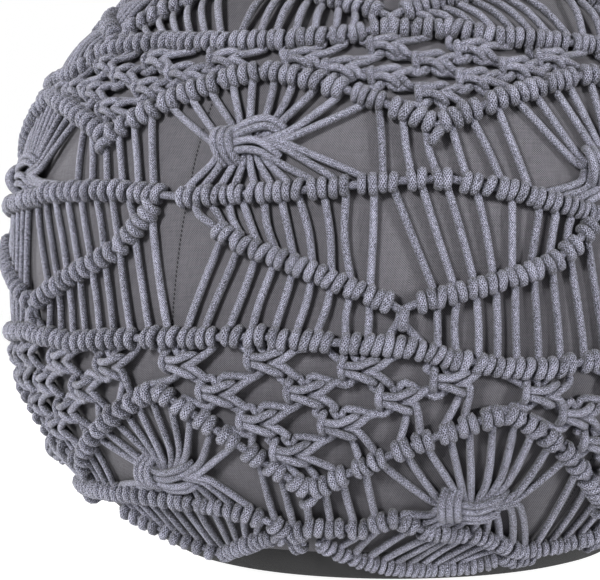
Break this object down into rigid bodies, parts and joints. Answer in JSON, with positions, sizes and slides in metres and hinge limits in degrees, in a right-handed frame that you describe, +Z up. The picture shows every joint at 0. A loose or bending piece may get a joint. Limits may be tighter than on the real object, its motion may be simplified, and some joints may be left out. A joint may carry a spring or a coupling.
{
  "type": "macrame pouf",
  "caption": "Round floor pouf: a filled cushion sewn from gores, inside a net of thick cotton cord knotted into bars, V bands and fans.",
  "frame": {"origin": "centre of the flat base, on the floor", "axes": "+Z up along the pouf's axis, -Y towards the viewer of the picture, +X to that viewer's right"},
  "size_m": [0.5016, 0.5011, 0.3874],
  "materials": {
    "cover_cloth": "grey plain-weave cotton cover with stitched gore seams",
    "cotton_cord": "blue-grey braided cotton cord, matt, with light and dark flecks"
  },
  "bodies": {
    "root": {"cushion": "cover_cloth", "cord_net": "cotton_cord"}
  },
  "joints": []
}
